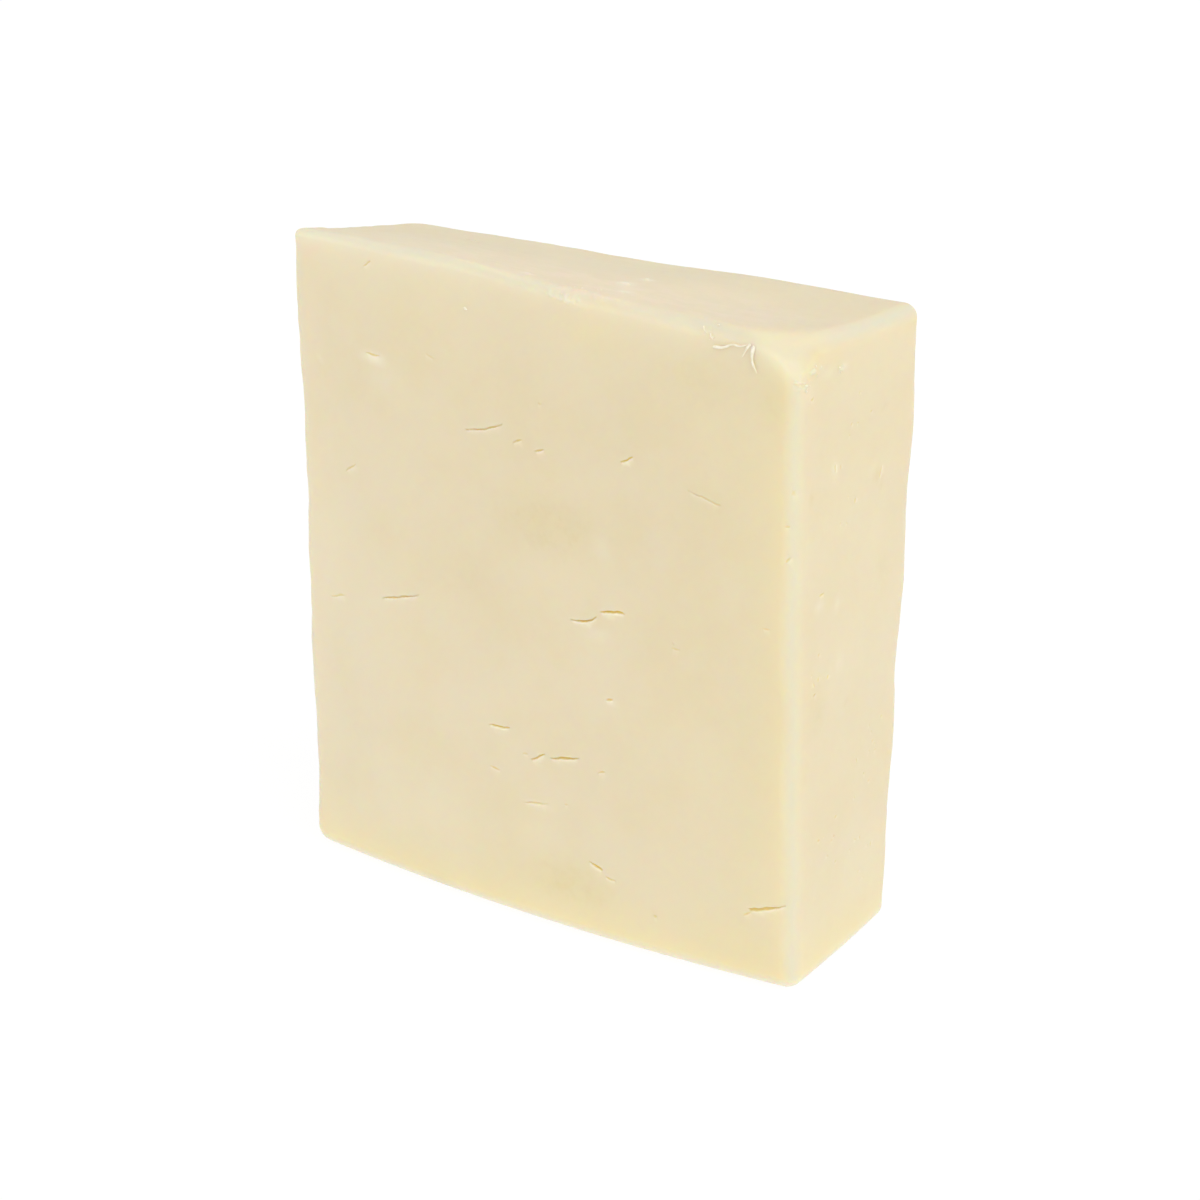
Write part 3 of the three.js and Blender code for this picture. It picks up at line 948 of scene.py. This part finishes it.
class Paint:
    """A material's nodes."""

    def __init__(self, name):
        self.material = bpy.data.materials.new(name)
        self.material.use_nodes = True
        self.tree = self.material.node_tree
        self.shader = self.tree.nodes["Principled BSDF"]
        self.place = self.node("ShaderNodeTexCoord", output="Object")

    def node(self, kind, settings=None, inputs=None, output=0):
        """Adds a node, with its settings first, then the values or links of its sockets."""
        made = self.tree.nodes.new(kind)
        for name, value in (settings or {}).items():
            setattr(made, name, value)
        for name, value in (inputs or {}).items():
            self.feed(made.inputs[name], value)
        return Value(self, made.outputs[output])

    def feed(self, socket, value):
        """Links a socket to a value that varies, or sets it to a plain one."""
        if isinstance(value, Value):
            self.tree.links.new(value.socket, socket)
        else:
            socket.default_value = value

    def set(self, **sockets):
        """Values or links for the shader, with spaces in the names as underscores."""
        for name, value in sockets.items():
            self.feed(self.shader.inputs[name.replace("_", " ")], value)

    def attribute(self, name):
        """A mark that the mesh carries."""
        return self.node("ShaderNodeAttribute", {"attribute_name": name}, output="Fac")

    def noise(self, kind):
        """Soft noise of one kind of mottling."""
        scale = [1 / (kind.size * MM * s) for s in kind.stretch]
        place = self.node("ShaderNodeVectorMath", {"operation": "MULTIPLY"}, {0: self.place, 1: scale})
        inputs = {"Vector": place, "Scale": 1.0, "Detail": kind.detail, "Roughness": kind.roughness}
        return self.node("ShaderNodeTexNoise", inputs=inputs)

    def mottle(self, kind):
        """Noise that rises smoothly from 0 to 1 between its kind's limits."""
        inputs = {"Value": self.noise(kind), "From Min": kind.low, "From Max": kind.high}
        return self.node("ShaderNodeMapRange", {"interpolation_type": "SMOOTHSTEP"}, inputs)

    def blend(self, share, first, second):
        """A colour between two, by a share from 0 to 1."""
        settings = {"data_type": "RGBA", "clamp_factor": True}
        inputs = {MIX_SHARE: share, MIX_FIRST: first, MIX_SECOND: second}
        return self.node("ShaderNodeMix", settings, inputs, output=MIX_RESULT)

    def bump(self, height, distance):
        """A normal that follows a height, whose full range is a distance in millimetres."""
        inputs = {"Height": height, "Distance": distance * MM, "Strength": 1.0}
        return self.node("ShaderNodeBump", inputs=inputs, output="Normal")


def cheese_material():
    """Soft pale cheese with light inside it, coloured layer over layer by its marks, some of which are painted
    light and shade.
    """
    paint = Paint("cheese")
    clouds, curds, streaks, smudges = (paint.mottle(kind) for kind in (CLOUDS, CURDS, STREAKS, SMUDGES))
    fine, smears = paint.noise(FINE_BUMPS), paint.noise(SMEARS)
    marks = [paint.attribute(name) for name in MARKS]
    crack, lips, pale, wax_and_sheen, high, pressed, painted_glow, stain, scraped = marks
    stained = stain * (STAIN_EVEN + STAIN_CURDS * curds + STAIN_SMUDGES * smudges)
    colour = paint.blend(clouds, DEEP_CREAM, CREAM)
    colour = paint.blend(curds * CURD_SHARE, colour, GREY_CREAM)
    colour = paint.blend(stained, colour, OLIVE)
    # Painted glow at the thin rims and above the base
    colour = paint.blend(painted_glow, colour, GLOW_YELLOW)
    # Painted sheen along the edges, duller at the top edge, and the waxy smear and flakes
    colour = paint.blend(wax_and_sheen, colour, paint.blend(high, SHEEN_WAX, TOP_SHEEN_WAX))
    colour = paint.blend(pressed * PRESSED_SHARE, colour, PRESSED_CREAM)
    colour = paint.blend(scraped * (SCRAPED_EVEN + SCRAPED_STREAKS * streaks), colour, PINK_CREAM)
    # Pale flecks and halos, with painted glints on the top's flakes and painted light at the base rim
    colour = paint.blend(pale * PALE_SHARE, colour, FLECK)
    # Pale crack lips, partly painted highlight
    colour = paint.blend(lips * LIP_SHARE, colour, LIP)
    # Painted shade inside the cracks
    colour = paint.blend(crack * GOLD_SHARE, colour, CRACK_SHADE_GOLD)
    paint.set(
        Base_Color=colour,
        Roughness=SATIN + SATIN_CHANGE * clouds + SATIN_CHANGE * smears + CRACK_DULLNESS * crack,
        Normal=paint.bump(fine * FINE_SHARE + smears + SCRAPE_SHARE * scraped * streaks, CHEESE_BUMPS),
        Subsurface_Weight=INNER_LIGHT,
        Subsurface_Radius=INNER_SPREAD,
        Subsurface_Scale=INNER_DEPTH * MM,
        IOR=CHEESE_IOR,
    )
    return paint.material


def shred_material():
    """Thin pale cheese, with no glow from within."""
    paint = Paint("cheese_shreds")
    mottle = paint.mottle(SHRED_MOTTLE)
    paint.set(
        Base_Color=paint.blend(mottle, CRUMB_PALE, SHRED_WHITE),
        Roughness=SHRED_SATIN + SATIN_CHANGE * mottle,
        Normal=paint.bump(mottle, SHRED_BUMPS),
        IOR=CHEESE_IOR,
    )
    return paint.material


# Shreds that hang from the top edge: the face, points across, up and off it, and the half width
Shred = namedtuple("Shred", "face points width")
SHREDS = [
    Shred(
        FRONT,
        [(32.2, 96.9, 0.25), (33.9, 97.1, 0.2), (35.2, 97.7, 0.15), (36.5, 97.7, 0.1), (38.0, 98.3, -0.3)],
        0.22,
    ),
    Shred(FRONT, [(37.9, 98.3, -0.1), (37.5, 97.6, 0.15), (36.9, 96.4, 0.3)], 0.22),
    Shred(FRONT, [(38.5, 98.2, -0.1), (38.3, 97.0, 0.15), (38.4, 95.8, 0.25), (39.1, 94.5, 0.35)], 0.29),
    Shred(FRONT, [(30.3, 99.4, -0.1), (30.7, 98.9, 0.15), (31.3, 98.6, 0.2)], 0.12),
    Shred(FRONT, [(31.6, 98.6, 0.0), (31.8, 98.2, 0.15), (32.2, 97.9, 0.2)], 0.12),
    Shred(BACK, [(-18.5, 98.4, -0.1), (-18.2, 97.5, 0.15), (-17.3, 96.6, 0.3)], 0.22),
    Shred(BACK, [(-16.9, 98.6, -0.1), (-16.6, 98.0, 0.15), (-16.7, 97.4, 0.25)], 0.16),
]

# Shape of a shred: sides and steps, how flat it is, how it thins to its tip and root, and how it varies
SHRED_SIDES = 8
SHRED_STEPS = 24
SHRED_FLATNESS = 0.6
SHRED_TIP = 1.02
SHRED_ROOT = (-0.3, 0.15)
SHRED_CHANGE = 0.25
SHRED_RIPPLES = 6


def smooth_path(points, count):
    """Points along a smooth line through the given ones."""
    points = np.array(points, float)
    ends = [2 * points[0] - points[1], *points, 2 * points[-1] - points[-2]]
    made = []
    for place in np.linspace(0, len(points) - 1, count):
        k = min(int(place), len(points) - 2)
        a, b, c, d = ends[k : k + 4]
        t = place - k
        made.append(b + t * ((c - a) + t * ((2 * a - 5 * b + 4 * c - d) + t * (3 * (b - c) + d - a))) / 2)
    return np.array(made)


def shred_rings(shred, start):
    """Rings of a shred in the plain slab's place, thinning to both ends, and flattened towards the face."""
    path = smooth_path(shred.points, SHRED_STEPS)
    centres = on_face(shred.face, path[:, 0], path[:, 1], path[:, 2])
    along = np.gradient(centres, axis=0)
    along /= np.linalg.norm(along, axis=1, keepdims=True)
    over = np.cross(along, shred.face.out)
    share = np.linspace(0, 1, SHRED_STEPS)
    half = shred.width * np.sqrt(np.clip(SHRED_TIP - share, 0, 1)) * ramp(share, *SHRED_ROOT)
    half = half * (1 + SHRED_CHANGE * ripple(share * SHRED_RIPPLES, start))
    turn = np.linspace(0, 2 * math.pi, SHRED_SIDES, endpoint=False)
    round_over = np.multiply.outer(np.cos(turn), over) + SHRED_FLATNESS * np.multiply.outer(
        np.sin(turn), np.broadcast_to(shred.face.out, over.shape)
    )
    return centres + half[:, None] * round_over


def shred_mesh(shift):
    """All the shreds, each closed at both ends."""
    vertices, faces = [], []
    for number, shred in enumerate(SHREDS):
        start = len(vertices)
        rings = shred_rings(shred, number).transpose(1, 0, 2)
        vertices += ((settle(rings.reshape(-1, 3)) + shift) * MM).tolist()
        for ring in range(SHRED_STEPS - 1):
            for k in range(SHRED_SIDES):
                here = start + ring * SHRED_SIDES + k
                beside = start + ring * SHRED_SIDES + (k + 1) % SHRED_SIDES
                faces.append((here, beside, beside + SHRED_SIDES, here + SHRED_SIDES))
        last = start + (SHRED_STEPS - 1) * SHRED_SIDES
        faces.append(tuple(range(start + SHRED_SIDES - 1, start - 1, -1)))
        faces.append(tuple(range(last, last + SHRED_SIDES)))
    mesh = bpy.data.meshes.new("edge_shreds")
    mesh.from_pydata(vertices, [], faces)
    mesh.shade_smooth()
    return mesh


# Crumbs that cling to the surface: the face, the place on it, how far apart, how many, and their half size
Crumbs = namedtuple("Crumbs", "face across up apart count size")
CRUMBS = [
    Crumbs(SIDE, -14.0, 93.0, 0.6, 4, 0.16),
    Crumbs(SIDE, -11.8, 95.2, 1.2, 3, 0.14),
    Crumbs(SIDE, -5.4, 94.4, 0.9, 2, 0.13),
    Crumbs(FRONT, 30.6, 98.9, 0.9, 3, 0.13),
    Crumbs(FRONT, -12.4, 95.6, 0.0, 1, 0.3),
    Crumbs(TOP, 6.5, -13.0, 3.0, 6, 0.15),
    Crumbs(BACK, 12.0, 96.5, 8.0, 6, 0.18),
    Crumbs(LEFT, -3.0, 95.0, 5.0, 5, 0.16),
]

# How crumbs differ in place, size and shape, how flat they are, and how far off the surface they fall from
CRUMB_SCATTER = 0.6
CRUMB_SIZES = (0.5, 1.2)
CRUMB_SHAPES = (0.6, 1.5)
CRUMB_HEIGHT = 0.5
CRUMB_FALL = 4.0

# Roughness of a crumb: how fine its mesh is, how far its lumps stand out, how close they are, and how far
# apart two crumbs may start in the noise
CRUMB_FINENESS = 2
LUMP_HEIGHT = 0.45
LUMP_SCALE = 1.4
LUMP_START = 50


def crumb_mesh(body, shift):
    """Small uneven flakes, each half sunk into the surface that carries it."""
    draw = np.random.default_rng(SEED)
    tree = BVHTree.FromPolygons([v.co for v in body.vertices], [p.vertices for p in body.polygons])
    made = bmesh.new()
    for cluster in CRUMBS:
        for _ in range(cluster.count):
            across, up = (cluster.across, cluster.up) + cluster.apart * draw.normal(0, CRUMB_SCATTER, 2)
            size = cluster.size * draw.uniform(*CRUMB_SIZES)
            out = Vector(cluster.face.out)
            above = Vector((on_face(cluster.face, across, up) + shift) * MM) + CRUMB_FALL * MM * out
            place, normal, _, _ = tree.ray_cast(above, -out, 2 * CRUMB_FALL * MM)
            if place is not None:
                add_crumb(made, place, normal, size, draw)
    mesh = bpy.data.meshes.new("crumbs")
    made.to_mesh(mesh)
    made.free()
    mesh.shade_smooth()
    return mesh


def add_crumb(made, place, normal, size, draw):
    """One flake: a ball of few faces, roughened, flattened and turned."""
    ball = bmesh.ops.create_icosphere(made, subdivisions=CRUMB_FINENESS, radius=1)["verts"]
    squash = draw.uniform(*CRUMB_SHAPES, 3) * (1, 1, CRUMB_HEIGHT)
    offset = Vector(draw.uniform(-LUMP_START, LUMP_START, 3))
    turned = normal.to_track_quat("Z", "Y")
    turned = turned @ Quaternion((0, 0, 1), draw.uniform(0, math.pi))
    for vertex in ball:
        rough = 1 + LUMP_HEIGHT * noise.noise(vertex.co * LUMP_SCALE + offset)
        shaped = Vector([a * b for a, b in zip(vertex.co * rough, squash)])
        vertex.co = place + turned @ (shaped * size * MM)


def put_object(name, data):
    """Adds a mesh, a camera or a lamp to the scene."""
    made = bpy.data.objects.new(name, data)
    bpy.context.scene.collection.objects.link(made)
    return made


def way_to(azimuth, elevation):
    """The way from the block towards what stands round it, by angles in degrees."""
    a, e = math.radians(azimuth), math.radians(elevation)
    return Vector((math.sin(a) * math.cos(e), -math.cos(a) * math.cos(e), math.sin(e)))


def add_piece(name, mesh, material):
    """Shows a mesh as a piece of the block."""
    mesh.materials.append(material)
    piece = put_object(name, mesh)
    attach(piece, "root")
    return piece


def add_camera(shift):
    """The camera, at the angle of the real view."""
    turn = math.radians(AZIMUTH)
    right = Vector((math.cos(turn), math.sin(turn), 0))
    back = way_to(AZIMUTH, ELEVATION)
    up = back.cross(right)
    target = Vector((0, 0, HEIGHT / 2)) + Vector(shift)
    camera = put_object("camera", bpy.data.cameras.new("camera"))
    camera.data.lens = LENS
    camera.data.sensor_width = SENSOR
    camera.location = (target - right * OFF_MIDDLE[0] - up * OFF_MIDDLE[1] + back * DISTANCE) * MM
    camera.rotation_euler = back.to_track_quat("Z", "Y").to_euler()
    bpy.context.scene.camera = camera


# Soft studio lamps: where they shine from round the block, how high, how wide they look, and how bright,
# then the light all round
Softbox = namedtuple("Softbox", "name azimuth elevation spread strength")
SOFTBOXES = [
    Softbox("key", 66, 42, 55, 1.0),
    Softbox("fill", -35, 25, 80, 0.25),
    Softbox("overhead", 20, 85, 80, 0.23),
]
WORLD_LIGHT = 0.70
WHITE = (1.0, 1.0, 1.0, 1.0)

# The plain pale floor: its size in metres, its finish, and how far in millimetres it lies below the base
FLOOR_SIZE = 14.0
FLOOR_COLOUR = (0.13, 0.13, 0.13, 1.0)
FLOOR_GLOW = 0.89
FLOOR_ROUGHNESS = 0.9
FLOOR_DROP = 0.2


def add_softboxes():
    """Soft lamps round the block."""
    for box in SOFTBOXES:
        lamp = bpy.data.lights.new(box.name, "SUN")
        lamp.angle = math.radians(box.spread)
        lamp.energy = box.strength
        light = put_object(box.name, lamp)
        light.rotation_euler = way_to(box.azimuth, box.elevation).to_track_quat("Z", "Y").to_euler()


def add_floor():
    """A plain floor with its own glow, so that it looks nearly white."""
    paint = Paint("floor")
    paint.set(
        Base_Color=FLOOR_COLOUR,
        Roughness=FLOOR_ROUGHNESS,
        Specular_IOR_Level=0.0,
        Emission_Color=WHITE,
        Emission_Strength=FLOOR_GLOW,
    )
    half = FLOOR_SIZE / 2
    corners = [(-half, -half, 0), (half, -half, 0), (half, half, 0), (-half, half, 0)]
    mesh = bpy.data.meshes.new("floor")
    mesh.from_pydata(corners, [], [(0, 1, 2, 3)])
    mesh.materials.append(paint.material)
    floor = put_object("floor", mesh)
    floor.location.z = -FLOOR_DROP * MM


def add_studio():
    """The light all round, the lamps and the floor."""
    scene = bpy.context.scene
    scene.view_settings.view_transform = "Standard"
    world = bpy.data.worlds.new("studio")
    world.use_nodes = True
    background = world.node_tree.nodes["Background"]
    background.inputs["Strength"].default_value = WORLD_LIGHT
    background.inputs["Color"].default_value = WHITE
    scene.world = world
    add_softboxes()
    add_floor()


mesh, shift = block_mesh()
cheese = cheese_material()
block = add_piece("cheese_block", mesh, cheese)
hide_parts(BLOCK)
shredded = shred_material()
add_piece("edge_shreds", shred_mesh(shift), shredded)
add_piece("crumbs", crumb_mesh(mesh, shift), shredded)
add_camera(shift)
add_studio()
